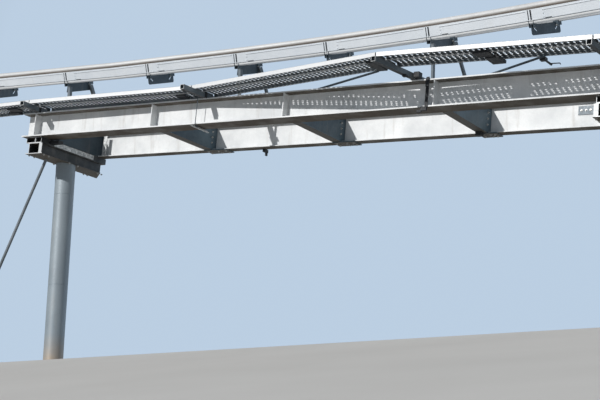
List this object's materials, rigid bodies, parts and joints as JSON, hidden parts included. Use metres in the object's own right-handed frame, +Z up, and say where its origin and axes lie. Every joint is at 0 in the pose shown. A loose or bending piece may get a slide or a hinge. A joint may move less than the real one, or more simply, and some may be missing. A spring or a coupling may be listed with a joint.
{
  "type": "alpine coaster bridge section",
  "caption": "Banked two-tube alpine coaster track with a perforated service walkway, on a two-girder steel bridge over round columns.",
  "frame": {"origin": "centre of the left column's flat foot, at ground level", "axes": "+X along the bridge to the right support, +Y to the far side of the track, +Z up"},
  "size_m": [11.0485, 2.3252, 4.5225],
  "materials": {
    "galvanised_beam": "hot-dip galvanised, matt, pale grey with soft spangle and light staining",
    "galvanised_bright": "galvanised sheet, satin",
    "galvanised_dull": "dull blue-grey galvanised plate",
    "tube_steel": "galvanised tube, running surface polished by wheels",
    "panel_white": "off-white coated sheet, slightly dusty",
    "column_grey": "pale blue-grey, dusty tan at the foot"
  },
  "bodies": {
    "root": {"bearer_1": "galvanised_beam", "bearer_2": "galvanised_beam", "bearer_3": "galvanised_beam", "bearer_4": "galvanised_beam", "column_left": "column_grey", "column_right": "column_grey", "crossbeam_1": "galvanised_beam", "crossbeam_2": "galvanised_beam", "crossbeam_3": "galvanised_beam", "crosshead_left": "galvanised_beam", "crosshead_right": "galvanised_beam", "end_diaphragm_left": "galvanised_beam", "end_diaphragm_right": "galvanised_beam", "girder_far": "galvanised_beam", "girder_near": "galvanised_beam", "guide_tube_far": "tube_steel", "guide_tube_near": "tube_steel", "packing_rail_narrow_left": "galvanised_beam", "packing_rail_narrow_right": "galvanised_beam", "packing_rail_wide_left": "galvanised_beam", "packing_rail_wide_right": "galvanised_beam", "raking_stay_left": "galvanised_beam", "raking_stay_right": "galvanised_beam", "running_tube_far": "tube_steel", "running_tube_near": "tube_steel", "side_panel_far": "panel_white", "side_panel_near": "panel_white", "sleeper_1": "galvanised_dull", "sleeper_2": "galvanised_dull", "sleeper_3": "galvanised_dull", "sleeper_4": "galvanised_dull", "sleeper_5": "galvanised_dull", "sleeper_6": "galvanised_dull", "sleeper_7": "galvanised_dull", "stand_leg_2_far": "galvanised_dull", "stand_leg_2_near": "galvanised_dull", "stand_leg_4_far": "galvanised_dull", "stand_leg_4_near": "galvanised_dull", "stand_leg_6_far": "galvanised_dull", "stand_leg_6_near": "galvanised_dull", "walkway_outrigger_1": "galvanised_dull", "walkway_outrigger_2": "galvanised_dull", "walkway_planks_1": "galvanised_bright", "walkway_planks_2": "galvanised_bright", "walkway_planks_3": "galvanised_bright", "walkway_planks_4": "galvanised_bright", "walkway_planks_5": "galvanised_bright"}
  },
  "joints": []
}
